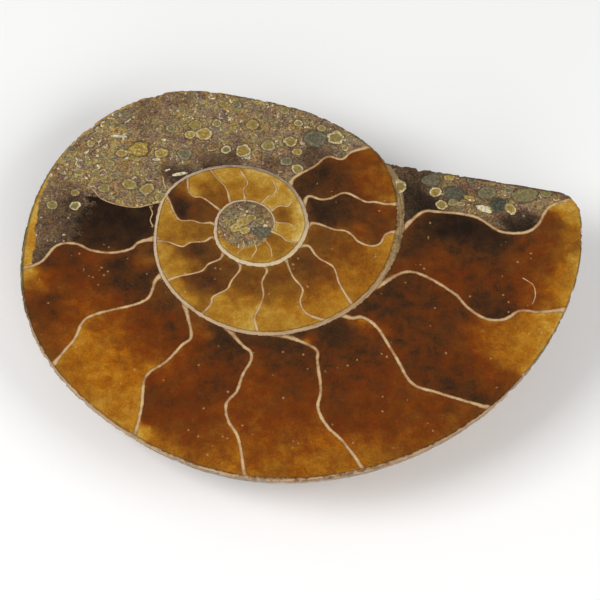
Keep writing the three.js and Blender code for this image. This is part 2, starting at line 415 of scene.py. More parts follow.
# Tone of the calcite near a place on the face: u, v, reach and tone, from black-brown (0) through red
# brown and amber to pale gold (1). In sediment, the tone is the brightness of the matrix.
STAINS = [
    # the dark pocket, the gold band beside it and the matrix round it
    (-13, 1, 3, 0), (-16, 0.5, 1.2, 0.06), (-15, -1.9, 1.5, 0.14), (-11.2, 1, 1.5, 0.08),
    (-22.5, 2, 1.2, 0.95), (-22.8, -2, 1.3, 0.85), (-22.3, 4.5, 0.9, 0.92), (-22.5, -4.3, 1.2, 0.9),
    (-17.8, 4.6, 1.1, 0.42), (-15, 5.5, 0.8, 0.65), (-19, 3.2, 1, 0.25), (-21, 3, 0.8, 0.5),
    (-19.5, 5, 1, 0.5), (-18.6, 2, 1, 0.1), (-20, 1, 1.5, 0.42), (-19.4, -1.2, 1.2, 0.26),
    (-16.9, 2.4, 0.7, 0.04), (-17.6, 0.8, 0.7, 0.06), (-18.1, -1, 0.6, 0.1), (-4, 9, 1.2, 0.08),
    (-2.5, 8.6, 1, 0.3), (-5.5, 9.7, 1, 0.5), (-7.6, 6.6, 0.8, 0.2), (-9, 14.5, 2, 0.5), (0, 14, 3, 0.7),
    (-14, 9, 3, 0.7), (-12, 5, 2, 0.7), (-6, 12, 2.5, 0.65), (4, 11, 2, 0.6), (8.5, 9.9, 0.8, 0.5),
    (6.5, 9.4, 0.8, 0.25), (11, 10.9, 1, 0.7), (-18, 9, 2, 0.75), (4.6, 8.6, 1, 0.5), (2.5, 8, 0.8, 0.4),
    # first large chamber on the left
    (-19, -4, 2, 0.15), (-22, -7, 1.3, 0.7), (-23, -5.5, 1, 0.9), (-16, -3.7, 0.9, 0.58),
    (-13, -5, 2.5, 0.1), (-17, -5.7, 1.5, 0.35), (-12, -7.5, 1.8, 0.16), (-20, -9.5, 1.4, 0.1),
    (-17.5, -8.8, 1.4, 0.55), (-19, -11.8, 1.3, 0.5), (-21.7, -9.4, 1, 0.25), (-20.5, -13, 1, 0.4),
    (-14.5, -8.8, 1.1, 0.45), (-11, -3.6, 0.8, 0.6),
    # second
    (-15, -11.3, 1.2, 0.55), (-13.5, -13.5, 2, 0.62), (-11, -12, 2, 0.32), (-8, -11, 1.8, 0.2),
    (-8, -14, 1.5, 0.25), (-10.5, -15, 1.6, 0.5), (-16, -15, 2, 0.75), (-14, -17, 2.5, 0.78),
    (-13, -20, 2, 0.74), (-12, -22.5, 1.5, 0.82), (-17.5, -16.5, 1.5, 0.62), (-9.7, -17, 1, 0.75),
    (-9, -9.5, 0.8, 0.25),
    # third
    (-5, -12.3, 0.9, 0.65), (-3.5, -14, 2, 0.05), (-7, -17, 2, 0.55), (-5, -19.5, 2.5, 0.22),
    (-9, -20, 1.5, 0.2), (-2.5, -17, 1.5, 0.25), (-8, -22.5, 1.5, 0.32), (-10.8, -24.5, 1, 0.92),
    (-5, -24.5, 1.8, 0.38), (-7.5, -26, 1.2, 0.68), (-4, -27.3, 1.2, 0.55), (-2, -25.5, 1.5, 0.62),
    (-3, -21.5, 1, 0.48), (-1.6, -28.2, 0.8, 0.68),
    # fourth
    (2.5, -14.5, 2, 0.1), (4.5, -16, 2, 0.12), (1.5, -18, 1.8, 0.5), (4, -20, 2.5, 0.3),
    (0, -21, 1.3, 0.45), (2, -23.5, 2, 0.45), (5.5, -24, 1.8, 0.52), (2, -27, 2, 0.6),
    (6, -27.5, 2, 0.64), (8.5, -27.6, 1.5, 0.66), (-0.5, -23.5, 1, 0.52), (6.3, -13.7, 0.5, 0.9),
    # fifth
    (9, -13, 1.8, 0.07), (12, -11.4, 0.8, 0.7), (9, -16, 2, 0.2), (12, -15, 2, 0.24),
    (11, -19, 2.5, 0.27), (14, -19.5, 1.5, 0.35), (9, -22, 1.5, 0.35), (13, -23, 2, 0.35),
    (17, -21.5, 2, 0.42), (19.5, -21.8, 2, 0.3), (16, -25.5, 1.6, 0.5), (11, -26.5, 1.5, 0.66),
    (13, -28, 1.2, 0.64), (20.5, -23.5, 1.2, 0.55), (13.6, -12.6, 0.6, 0.6),
    # sixth
    (11.5, -9.8, 1, 0.15), (14, -8, 1.8, 0.12), (17, -7.5, 2, 0.14), (19, -9, 1.6, 0.25),
    (21.4, -10.7, 1.1, 0.08), (17, -12, 2.5, 0.2), (20, -14, 2.5, 0.24), (17, -16, 2, 0.2),
    (20.5, -17.5, 2, 0.17), (23, -19.5, 2, 0.08), (24.5, -17, 1.5, 0.48), (24, -13.5, 2, 0.64),
    (27, -12, 2, 0.6), (26, -15, 2, 0.74), (29.5, -12.5, 1.8, 0.9), (28, -15.5, 1.5, 0.8),
    (25.5, -18.5, 1.2, 0.4), (30.5, -11, 1.2, 0.9),
    # seventh
    (17, 1, 1.3, 0.3), (20, 1, 2, 0.02), (23, 0.5, 1.8, 0), (16, -2, 1.5, 0.14), (20, -1, 2, 0.03),
    (24.5, -1.5, 1.8, 0.02), (20, -3.3, 1.4, 0.46), (17, -4.7, 1, 0.3), (21, -5, 1.8, 0.28),
    (24.5, -4, 1.8, 0.15), (23.5, -7, 2, 0.25), (26, -9.5, 2, 0.08), (28.5, -2, 1.6, 0.15),
    (28.5, -6, 2, 0.38), (30.5, -4.5, 1.8, 0.42), (30, -1, 1.5, 0.5), (31.5, -7.5, 1.3, 0.85),
    (33, -4.5, 1, 0.97), (33.2, -1, 1, 0.66), (29.5, -9.2, 1.2, 0.64), (32.5, 2.8, 1.2, 0.9),
    (33.7, 1, 0.8, 0.85), (31.5, 0.6, 1, 0.15),
    # matrix in the core
    (-1.6, 1.4, 0.8, 0.55), (-2, -0.3, 0.7, 0.65), (0, 2.3, 0.6, 0.5), (-0.3, 0.3, 0.9, 0.95),
    (1.6, -1, 0.7, 0.6), (0.5, -1.8, 0.6, 0.7), (1.6, 1.4, 0.6, 0.5), (-1, -1.5, 0.6, 0.5),
    # matrix in the mouth
    (17, 6.3, 1.2, 0.15), (17, 3.2, 1.3, 0.12), (18.8, 2.6, 0.9, 0.05), (20, 6, 1.5, 0.55),
    (23.5, 5, 1.5, 0.5), (22, 3.5, 1.5, 0.45), (26, 3.5, 1.5, 0.62), (28.5, 0.9, 1.3, 0.02),
    (29, 3.8, 1.3, 1.1), (31, 4, 1.2, 0.5), (15.3, 7.5, 1, 0.25),
    # the whorl inside, from its mouth end back
    (7, 8, 1.2, 0.12), (6, 6.5, 1.2, 0.1), (9, 6.8, 1.6, 0.1), (10.5, 8, 1.2, 0.3), (12, 9, 1.1, 0.5),
    (12.5, 7, 1.2, 0.5), (13.3, 5.5, 1, 0.6), (10, 5.3, 1.2, 0.22), (7, 5, 1, 0.15), (7, 3, 1.2, 0.05),
    (8.5, 1.8, 1.3, 0.08), (10.5, 2.8, 1.3, 0.15), (11.5, 1.5, 1.2, 0.18), (13.5, 1.8, 1, 0.42),
    (13.5, 0, 1, 0.28), (12.5, -1.5, 0.9, 0.25), (8, -1.2, 1.2, 0.36), (9.5, -2.2, 1.3, 0.42),
    (11, -1, 1, 0.55), (10.5, -4, 1.3, 0.58), (12.5, -3, 1, 0.68), (13.8, -2.2, 0.8, 0.78),
    (11, -6.5, 1, 0.72), (6, -4, 1.1, 0.28), (8, -5.5, 1.1, 0.42), (5.5, -6, 1, 0.42),
    (7, -7.5, 1.2, 0.64), (9, -8.5, 1.2, 0.84), (6.5, -9.5, 1, 0.68), (3, -6, 1, 0.38),
    (3.2, -8, 1, 0.55), (3.5, -10.3, 1, 0.8), (0, -6.5, 1, 0.38), (-0.5, -8.5, 1, 0.68),
    (-2.5, -10, 1, 0.8), (0, -10.7, 0.8, 0.9), (-2.5, -6, 1, 0.28), (-4.5, -7, 1, 0.15),
    (-6, -8.5, 0.9, 0.84), (-5, -9.3, 0.7, 0.5), (-4, -3.5, 1, 0.3), (-5.5, -3.5, 1.2, 0.12),
    (-7.5, -4.5, 1, 0.84), (-6, -5, 0.8, 0.6), (-8.8, -3, 0.5, 0.8), (-18.7, 10.8, 1.5, 0.93),
    (-14.65, 14.6, 1.5, 0.9), (-21.5, 5.8, 1.2, 0.95), (-9, 17.4, 1.5, 0.85), (-4.8, 0, 0.8, 0.55),
    (-6, -0.8, 1, 0.55), (-8, -0.5, 1, 0.68), (-7, -1.5, 0.7, 0.7), (-6.8, 2.4, 0.8, 0.03),
    (-5.2, 2, 0.9, 0.28), (-6, 3.5, 0.7, 0.52), (-8.3, 1.5, 0.6, 0.84), (-4, 5, 0.9, 0.55),
    (-3.2, 4.2, 0.7, 0.5), (-6, 5, 0.8, 0.78), (-5, 6, 0.6, 0.86), (-1.5, 5, 0.8, 0.72),
    (-2, 6.3, 0.6, 0.88), (0.5, 5, 0.8, 0.66), (1, 6.3, 0.6, 0.9), (2, 4.5, 0.7, 0.8), (3, 5, 0.7, 0.88),
    (3.5, 2.3, 0.6, 0.55), (4.5, 2.5, 0.6, 0.88), (4.2, 0, 0.6, 0.84), (5, -0.5, 0.5, 0.92),
    (3, -1.3, 0.5, 0.6),
]
PLAIN_TONE = 0.7  # where a home has no stain
PLAIN_PULL = 1e-6
FAR_PULL = 1e-4  # how much a stain counts far beyond its reach
PALEST_TONE = 1.25
SOFTNESS = 1.3
WANDER_SIZE = 2.5  # noise that bends the edges of the stains
WANDER_AMOUNT = 0.9

# The dark pocket under POCKET_TOP fades into sediment on its left: the edge's u by v, and how sharp it is.
POCKET_SIDE = [(-2.5, -18), (0, -17.6), (2.5, -16.7), (4.8, -16.3)]
POCKET_SHARPNESS = 0.2
SEDIMENT_CORE = (-0.5, 0.5, 2.9, 2.9, 0)  # an ellipse: middle, half length, half width and slant
CORE_REACH = 5
FIELD_REACH = 1.5  # the sediment field says nothing beyond this distance from its edge

# Swarms of tiny pale flecks in the calcite: middle and reach.
FLECKS = [
    (-17, -4.3, 1), (-15.3, -5.6, 0.9), (-18.5, -3.6, 0.6), (-5.5, -24.8, 1), (-4.2, -26.3, 0.8),
    (-2.4, -24.5, 0.5), (28.8, -12.6, 0.8), (24.8, -12.4, 0.6), (24.5, -15.6, 0.5), (19.6, -13.8, 0.4),
    (20.8, -16.3, 0.4), (22.4, 1.3, 0.4), (21.2, -1, 0.6), (24.2, -5.4, 0.4), (17.5, -4.5, 0.4),
    (15.4, -20.6, 0.6), (16.6, -23.6, 0.5), (8.8, 3.8, 0.6), (9.2, -2.9, 0.5), (9, 1.8, 0.4),
    (-12.8, -18.8, 0.4), (-8, -16.5, 0.4), (12.4, -17.6, 0.4), (15.5, -13.4, 0.5), (3.5, -22.6, 0.4),
    (-11.3, -11.6, 0.4), (22.8, -8.4, 0.4), (9.6, -12.3, 0.5),
]

# Grains set in the sediment: middle, half length, half width, slant, tint and rim. The tint goes from
# dark green-grey (0) through grey (0.25), olive (0.5) and ochre (0.75) to white (1).
GRAINS = [
    (15.7, 5.2, 0.85, 0.62, 95, 0.62, 1), (19.4, 4.5, 0.68, 0.62, 0, 0.7, 1),
    (20, 2.9, 0.58, 0.55, 0, 0.6, 0.8), (19, 6, 0.95, 0.85, 20, 0.25, 0),
    (21.3, 4.3, 1.05, 0.85, 0, 0.12, 0), (21.2, 3.2, 0.5, 0.42, 0, 0.5, 0.4),
    (22.1, 3, 0.36, 0.32, 0, 0.5, 0.6), (20.9, 6.4, 0.55, 0.45, 0, 0.8, 0.3),
    (16.5, 7.9, 0.24, 0.2, 0, 1, 0), (24.7, 4.4, 0.95, 0.65, 10, 0.3, 0.1),
    (23, 3.7, 0.6, 0.3, -30, 0.85, 0.2), (26, 2.9, 0.9, 0.8, 0, 0.05, 0),
    (27.2, 2.4, 0.72, 0.48, 105, 0.75, 1), (28.8, 4.1, 1.35, 0.85, 10, 0.38, 0.1),
    (27, 4.7, 0.42, 0.4, 0, 0.25, 0.5), (31, 4.3, 0.6, 0.5, 0, 0.4, 0.2),
    (23.2, 6, 0.5, 0.42, 0, 0.2, 0.2), (24.4, 2.4, 0.85, 0.42, -25, 1, 0),
    (-18.3, 2.8, 0.55, 0.52, 0, 0.52, 1), (-20.7, 2.9, 0.58, 0.52, 0, 0.5, 0.5),
    (-18.4, 4.4, 0.46, 0.44, 0, 0.6, 0.5), (-11.8, 10, 1, 0.85, 20, 0.8, 0),
    (-5.9, 13, 0.66, 0.62, 0, 0.58, 0.3), (-5, 11.9, 0.8, 0.72, 20, 0.78, 0.8),
    (-6.5, 11.8, 0.55, 0.5, 0, 0.8, 0.7), (0.2, 13.1, 0.66, 0.62, 0, 0.66, 0.4),
    (-3.6, 13.3, 0.5, 0.46, 0, 0.5, 0.6), (-2.6, 9.9, 0.5, 0.52, 0, 0.4, 1),
    (-0.8, 9.7, 0.8, 0.72, 70, 0.7, 0.8), (1.9, 10.4, 0.72, 0.7, 0, 0.52, 0.5),
    (3.6, 14.9, 0.45, 0.42, 0, 0.55, 0.6), (4.2, 10.9, 0.7, 0.66, 0, 0.62, 0.7),
    (5, 13.3, 0.46, 0.42, 0, 0.55, 0.9), (4.9, 9.6, 0.5, 0.4, 0, 0.75, 0.8),
    (4.9, 7.4, 0.62, 0.55, 0, 0.6, 0.8), (3.7, 8.4, 0.6, 0.5, 0, 0.3, 0.3),
    (6.8, 11.3, 1.1, 1, 0, 0.22, 0.1), (9, 11.4, 0.9, 0.82, 60, 0.55, 1),
    (10, 10.1, 0.36, 0.32, 0, 0.6, 1), (3, 16, 0.42, 0.36, 0, 0.5, 0.6),
    (-9.3, 3.8, 0.7, 0.6, 0, 0.6, 0.3), (-10.8, 4.9, 0.85, 0.65, 50, 0.62, 0.4),
    (-12.7, 5.5, 0.85, 0.6, -40, 0.58, 0.4), (-15.3, 5, 0.6, 0.5, 0, 0.55, 0.4),
    (-16.3, 7, 0.42, 0.4, 0, 0.5, 0.5), (-7, 9.3, 0.7, 0.65, 0, 0.3, 0.2),
    (-9.4, 9.4, 0.7, 0.6, 0, 0.78, 0.4), (-14.8, 8.2, 0.5, 0.4, 0, 0.5, 0.4),
    (-13.6, 9.4, 0.6, 0.5, 0, 0.72, 0.5), (-8.5, 12.6, 0.5, 0.45, 0, 0.4, 0.4),
    (-1.5, 15.6, 0.5, 0.45, 0, 0.3, 0.3), (7.5, 12.6, 0.5, 0.4, 0, 0.55, 0.5),
    (-3, 15.8, 0.45, 0.4, 0, 0.6, 0.4), (-18.9, 10, 0.5, 0.45, 0, 0.3, 0.3),
    (-1.5, 0.1, 0.6, 0.52, 40, 0.84, 0.3), (-0.7, 0.8, 0.65, 0.52, 0, 0.8, 0.3),
    (0.1, 1.3, 0.5, 0.4, 0, 0.7, 0.4), (-0.5, -0.3, 0.5, 0.4, 30, 0.84, 0.3),
    (1.3, -0.5, 0.8, 0.6, 0, 0.22, 0), (1.1, 0.9, 0.4, 0.35, 0, 0.5, 0.4),
    (-0.3, 2.1, 0.18, 0.16, 0, 1, 0), (1.6, 0.3, 0.2, 0.18, 0, 1, 0),
    (0.2, 2.7, 0.45, 0.2, 10, 0.45, 0.3),
    # white shell fragments, seen edge on
    (-14, 11.6, 0.85, 0.16, -5, 1, 0), (-13.2, 13.5, 0.65, 0.12, 35, 1, 0),
    (-17.4, 9.5, 0.5, 0.13, 45, 1, 0), (-13.4, 9.6, 0.42, 0.14, 25, 0.95, 0),
    (-9.9, 8.6, 0.48, 0.14, -5, 1, 0), (-7.4, 6.8, 0.9, 0.2, 12, 1, 0),
    (-8.7, 7.3, 0.4, 0.12, 20, 0.95, 0), (-9.2, 11.1, 0.36, 0.2, -15, 1, 0),
    (-14.9, 13.9, 0.4, 0.13, -10, 0.95, 0), (-9.6, 3.3, 0.6, 0.13, 12, 0.95, 0),
    (-12.3, 8.2, 0.16, 0.14, 0, 1, 0), (-1.1, 13.5, 0.2, 0.12, 60, 1, 0),
    (-4.6, 3.1, 0.05, 0.05, 0, 1, 0),
]

# How olive the calcite is: least everywhere, more in the whorls inside the two radii, beside a wall and
# in the last chamber, between its two angles and outside its radius.
OLIVE = 0.12
OLIVE_INSIDE = 0.7
OLIVE_RADII = (8, 15)
OLIVE_BY_WALL = 0.6
OLIVE_WALL_REACH = 1.3
OLIVE_LAST = 0.35
LAST_CHAMBER = (345, 360)
LAST_CHAMBER_RADIUS = 20

# Half width of the shell wall's pale line, by angle. Along the outline, only its inner half shows.
WALL_LINE = [
    (-720, 0.09), (-630, 0.09), (-540, 0.14), (-450, 0.21), (-380, 0.2), (-300, 0.13), (-240, 0.15),
    (-200, 0.13), (-180, 0.13), (-120, 0.17), (-60, 0.21), (-30, 0.24), (-8, 0.35), (12, 0.36),
    (22, 0.31), (34, 0.2), (75, 0.14), (110, 0.12), (150, 0.1), (165, 0.16), (185, 0.26), (210, 0.26),
    (240, 0.3), (285, 0.38), (310, 0.3), (325, 0.2), (335, 0.13), (350, 0.11), (362, 0.13), (367, 0.12),
]
SEPTUM_LINE = [(0, 0.055), (7, 0.07), (10, 0.085), (17, 0.11), (20, 0.145), (28, 0.16)]  # by its number
FLARE = 1.5  # how much wider a septum's line gets at the wall
FLARE_REACH = 0.6
GLOW = 0.12  # lighter calcite beside a septum, and a little less of it beside a wall
WALL_GLOW = 0.8
GLOW_REACH = 0.35
FIRST_WALL_GLOW = 0.3  # and inside the first whorl's wall, between two angles
FIRST_WALL_REACH = 0.45
FIRST_WALL = (-520, -330)
FIRST_WHORL_RADIUS = 7
GOLD_BAND = [  # width of the calcite between the sediment and the outline, by angle
    (100, 0.2), (125, 0.22), (150, 0.28), (163, 0.32), (172, 0.6), (179, 1), (184, 1.3), (187, 1.3),
]


def ellipse_share(places, ellipse):
    """Distance from an ellipse's middle, where 1 is its edge."""
    u, v, half_length, half_width, slant = ellipse[:5]
    turn = math.radians(slant)
    du, dv = places[:, 0] - u, places[:, 1] - v
    along = du * math.cos(turn) + dv * math.sin(turn)
    across = dv * math.cos(turn) - du * math.sin(turn)
    return np.hypot(along / half_length, across / half_width)


def sediment_field(places, chamber):
    """Distance into the sediment: above zero in it, below zero in calcite."""
    field = np.where(np.isin(chamber, SEDIMENT_CHAMBERS), FIELD_REACH, -FIELD_REACH)
    under_top = chamber == SEDIMENT_CHAMBERS[0]
    top = smooth_curve(POCKET_TOP)
    above = places[:, 1] - np.interp(places[:, 0], top[:, 0], top[:, 1])
    beside = POCKET_SHARPNESS * (table(POCKET_SIDE, places[:, 1]) - places[:, 0])
    field = np.where(under_top, np.minimum(field, np.maximum(above, beside)), field)
    angle = last_turn_angle(places)
    radius = length_of(places)
    band = outline_radius(angle) - radius - table(GOLD_BAND, angle)
    field = np.where(under_top & (angle > GOLD_BAND[0][0]), np.minimum(field, band), field)
    core = (1 - ellipse_share(places, SEDIMENT_CORE)) * SEDIMENT_CORE[2]
    return np.where(radius < CORE_REACH, np.maximum(field, core), field)


def tone_of(places, home):
    """A smooth mix of the stains that have the same home as the place."""
    middles = np.array(STAINS)[:, :2]
    chamber = chamber_of(middles)[0]
    in_sediment = sediment_field(middles, chamber) > 0
    owner = np.where(in_sediment, sediment_home(chamber, middles), calcite_home(chamber))
    total = np.full(len(places), PLAIN_PULL * PLAIN_TONE)
    weight = np.full(len(places), PLAIN_PULL)
    for (u, v, reach, tone), stain_home in zip(STAINS, owner):
        inside = home == stain_home
        gap = length_of(places[inside] - (u, v))
        pull = np.exp(-(gap / (SOFTNESS * reach)) ** 2) + FAR_PULL / (1 + gap ** 4)
        total[inside] += pull * tone
        weight[inside] += pull
    return total / weight


def calcite_home(chamber):
    """One home for the calcite of each chamber. Stains reach only places of their own home."""
    return 2 * chamber + 1


def sediment_home(chamber, places):
    """One home for the whole core, and one for each chamber of sediment."""
    return np.where(length_of(places) < CORE_REACH, -1, 2 * chamber)


def wandering(places, size, amount):
    """Places pushed about by smooth noise."""
    flat = np.column_stack([places, np.zeros(len(places))])
    push = [layered_noise(flat + shift, size, 3) for shift in (0.0, 37.0)]
    return places + amount * np.stack(push, axis=-1)


def table(values, at):
    """The number at a place between the (place, number) pairs of a list."""
    knots, heights = zip(*values)
    return np.interp(at, knots, heights)


def rise_between(values, ends):
    """A share that goes from 0 at the first end to 1 at the second."""
    return np.clip((values - ends[0]) / (ends[1] - ends[0]), 0, 1)


def grain_facts(places):
    """Distance from the nearest placed grain's middle as a share of its size, its tint and its rim."""
    nearest_share = np.full(len(places), NO_GRAIN)
    tint = np.zeros(len(places))
    rim = np.zeros(len(places))
    for shape in GRAINS:
        share = ellipse_share(places, shape)
        closer = share < nearest_share
        nearest_share = np.where(closer, share, nearest_share)
        tint = np.where(closer, shape[5], tint)
        rim = np.where(closer, shape[6], rim)
    return nearest_share, tint, rim


def wall_facts(places):
    """The closest point of the shell wall: how far, on which side, and how wide its line is there."""
    wall_turn = np.arange(WALL_START, MOUTH_ANGLE, WALL_GAP)
    line = polar(wall_turn, wall_radius(wall_turn))
    gap, index = nearest(line, places)
    outside = length_of(places) > length_of(line[index])
    return gap, wall_turn[index], {
        "wall_gap": np.minimum(gap, 3),
        "wall_side": np.clip(np.where(outside, gap, -gap), -3, 3),
        "wall_width": table(WALL_LINE, wall_turn[index]),
        "wall_turn": wall_turn[index] / TURN,
    }


def septum_facts(places, septum_side, septum, wall_gap):
    """The closest septum or loose line: how far, on which side, and how wide its line is there."""
    loose_side = side_of(np.vstack([evenly(smooth_curve(line)) for line in LOOSE_LINES]), places)
    on_loose = np.abs(loose_side) < np.abs(septum_side)
    width = table(SEPTUM_LINE, septum) * (1 + FLARE * np.exp(-wall_gap / FLARE_REACH))
    side = np.where(on_loose, loose_side, septum_side)
    return {
        "septum_gap": np.minimum(np.abs(side), 2),
        "septum_side": np.clip(side, -1, 1),
        "septum_width": np.where(on_loose, LOOSE_WIDTH, width),
    }


def lit_by_lines(tone, places, septum_gap, wall_gap, wall_angle):
    """The tone, lighter beside a septum or wall, and more so inside the first whorl's wall."""
    glow = np.exp(-septum_gap / GLOW_REACH) + WALL_GLOW * np.exp(-wall_gap / GLOW_REACH)
    by_first_wall = (wall_angle > FIRST_WALL[0]) & (wall_angle < FIRST_WALL[1])
    inside = by_first_wall & (length_of(places) < FIRST_WHORL_RADIUS)
    first_wall = np.exp(-wall_gap / FIRST_WALL_REACH) * inside
    return tone + GLOW * glow + FIRST_WALL_GLOW * first_wall


def olive_share(places, wall_gap):
    """How olive the calcite is, from 0 to 1."""
    radius = length_of(places)
    inner_whorls = 1 - rise_between(radius, OLIVE_RADII)
    last_chamber = rise_between(last_turn_angle(places), LAST_CHAMBER) * (radius > LAST_CHAMBER_RADIUS)
    by_wall = np.exp(-wall_gap / OLIVE_WALL_REACH)
    olive = OLIVE + OLIVE_INSIDE * inner_whorls + OLIVE_BY_WALL * by_wall + OLIVE_LAST * last_chamber
    return np.clip(olive, 0, 1)


def face_facts(places, rim_gap):
    """What the face's material needs to know at each place, as named numbers."""
    chamber, septum_side, septum = chamber_of(places)
    wall_gap, wall_angle, facts = wall_facts(places)
    facts.update(septum_facts(places, septum_side, septum, wall_gap))
    wandered = wandering(places, WANDER_SIZE, WANDER_AMOUNT)
    tone = tone_of(wandered, calcite_home(chamber))
    tone = lit_by_lines(tone, places, np.abs(septum_side), wall_gap, wall_angle)
    field = sediment_field(places, chamber)
    flecks = sum(np.exp(-(length_of(places - (u, v)) / reach) ** 2) for u, v, reach in FLECKS)
    grain, tint, rim = grain_facts(places)
    return {
        **facts,
        "tone": np.clip(tone, 0, PALEST_TONE),
        "matrix": tone_of(wandered, sediment_home(chamber, places)),
        "sediment": np.clip(field, -FIELD_REACH, FIELD_REACH),
        "flecks": np.clip(flecks, 0, 1),
        "olive": olive_share(places, wall_gap),
        "rim": np.minimum(rim_gap, 3),
        "grain": grain,
        "grain_tint": tint,
        "grain_rim": rim,
        "around": last_turn_angle(places) / TURN,
    }


# ---------------------------------------------------------------- the closed surface

DISC_CENTRE = (3, -3)  # middle of the grids, from where the whole outline is in sight
FACE_CELLS = 240
BACK_CELLS = 120
FACE_CROWDING = 1.15  # above 1, cells crowd together in the middle
BACK_CROWDING = 0.8  # below 1, towards the rim
EDGE_ROWS = 13
BEVEL = 0.12
BEVEL_ROWS = 3
CHIP_DEPTH = 0.36
CHIP_SIZE = 1.1
CHIP_START = 0.1  # the part of the noise below this leaves the edge whole
FINE_CHIP_SIZE = 0.35
FINE_CHIPS = 0.25
MOUTH_CHIPS = 1.8  # how much deeper chips get in the mouth
CORNER_WEAR = 0.7
CORNER_REACH = 1.1
FRACTURE_DEPTH = 0.7
FRACTURE_SIZE = 2.2
RIB_HEIGHT = 0.16
RIB_COUNT = 34
RIB_LEAN = 6
RIBS_FROM = 0.7 * FILL_RADIUS
RIBS_WITHIN = 4
SWELL_HEIGHT = 0.25
SWELL_SIZE = 6.0
FINE_RELIEF = 0.06
FINE_SIZE = 0.9
RIM_FADE = 3  # the relief fades towards the rim over this distance
WORN_HEIGHT = 0.8  # the flank gets smoother below this height, down to where it rests
WORN_RELIEF = 0.1
SKIN = 0.03  # the surface stays this far inside the solid
FACE_PART, FLANK_PART, BREAK_PART = range(3)  # in the order of the materials


def disc_grid(cells):
    """A square grid pressed into a disc: shares of the radius, and angles in degrees."""
    line = np.linspace(-1, 1, cells + 1)
    x, y = (side.ravel() for side in np.meshgrid(line, line))
    wide = np.abs(x) >= np.abs(y)
    share = np.maximum(np.abs(x), np.abs(y))
    safe_x = np.where(wide & (x != 0), x, 1)
    safe_y = np.where(~wide, y, 1)
    sideways = 45 * y / safe_x + np.where(x < 0, 180, 0)
    upwards = 90 - 45 * x / safe_y + np.where(y < 0, 180, 0)
    return share, np.where(wide, sideways, upwards)


def border_of_grid(cells):
    """Numbers of a grid's border points, counter-clockwise from its lower right corner."""
    side = np.arange(cells)
    row = cells + 1
    right = side * row + cells
    top = cells * row + cells - side
    left = (cells - side) * row
    return np.concatenate([right, top, left, side])


def quads_of_grid(cells):
    """Numbers of each cell's four corners, counter-clockwise."""
    row = cells + 1
    corner = (np.arange(cells)[:, None] * row + np.arange(cells)).ravel()
    return np.stack([corner, corner + 1, corner + row + 1, corner + row], axis=-1)


def outline_points():
    """Places along the outline, once round."""
    angle = np.arange(STEP_ANGLE, STEP_ANGLE + TURN, OUTLINE_GAP)
    return polar(angle, outline_radius(angle))


def reach_to_outline(angle):
    """Distance from the middle of the grids to the outline, in one direction."""
    offset = outline_points() - DISC_CENTRE
    return np.interp(angle, direction_of(offset), length_of(offset), period=TURN)


def layered_noise(points, scale, layers=4):
    """Fractal noise from about -1 to 1 at points in millimetres."""
    return np.array([
        noise.fractal(Vector(point) / scale, 0.7, 2.0, layers, noise_basis="PERLIN_ORIGINAL")
        for point in points
    ])


def flank_relief(places, rim_gap):
    """How far the flank lies below the solid: ribs that bend forward, and slow swells."""
    angle = last_turn_angle(places)
    radius = length_of(places)
    share = share_across(angle, radius)
    bend = 0.5 * np.sin(math.pi * share) + 0.9 * share ** 2
    ribs = 0.5 + 0.5 * np.sin(np.radians(angle * RIB_COUNT) - RIB_LEAN * bend)
    deep = np.stack([places[:, 0], places[:, 1], np.zeros(len(places))], axis=-1)
    swell = 0.5 + 0.5 * layered_noise(deep, SWELL_SIZE)
    fine = 0.5 + 0.5 * layered_noise(deep, FINE_SIZE)
    fade = np.clip(rim_gap / RIM_FADE, 0, 1)
    strength = np.clip((radius - RIBS_FROM) / RIBS_WITHIN, 0, 1)
    swells = SWELL_HEIGHT * np.clip(swell, 0, 1)
    return fade * (RIB_HEIGHT * ribs * strength + swells + FINE_RELIEF * fine)


def edge_inset(places, depth, bottom):
    """How far the edge lies inside the outline: worn chips all round, and rough in the mouth."""
    points = np.stack([places[:, 0], places[:, 1], -depth], axis=-1)
    chips = np.clip(layered_noise(points, CHIP_SIZE, 3) - CHIP_START, 0, 1)
    chips = chips + FINE_CHIPS * np.abs(layered_noise(points, FINE_CHIP_SIZE, 2))
    corner = polar(MOUTH_ANGLE, wall_radius(MOUTH_ANGLE))
    worn = CORNER_WEAR * np.exp(-(length_of(places - corner) / CORNER_REACH) ** 2)
    broken = np.clip((last_turn_angle(places) - MOUTH_ANGLE) / 2, 0, 1)
    inset = SKIN + CHIP_DEPTH * (1 + MOUTH_CHIPS * broken) * chips + worn
    below = np.clip(depth / 1.2, 0, 1) * np.clip((bottom - depth) / 0.8 + 0.3, 0, 1)
    rough = 0.55 + 0.5 * layered_noise(points, FRACTURE_SIZE, 5)
    return inset + broken * below * FRACTURE_DEPTH * np.clip(rough, 0, 1.3)


def row_points(points):
    """Points of the face's frame in the shared frame, in metres."""
    return (np.column_stack([points, np.ones(len(points))]) @ np.array(FACE_TO_ROW).T)[:, :3]


def from_centre(angle, reach):
    """Places at a reach from the middle of the grids."""
    return DISC_CENTRE + polar(angle, 1.0) * reach[:, None]


def reach_of(points):
    """Distance of points from the middle of the grids, seen from above."""
    return length_of(points[:, :2] - DISC_CENTRE)


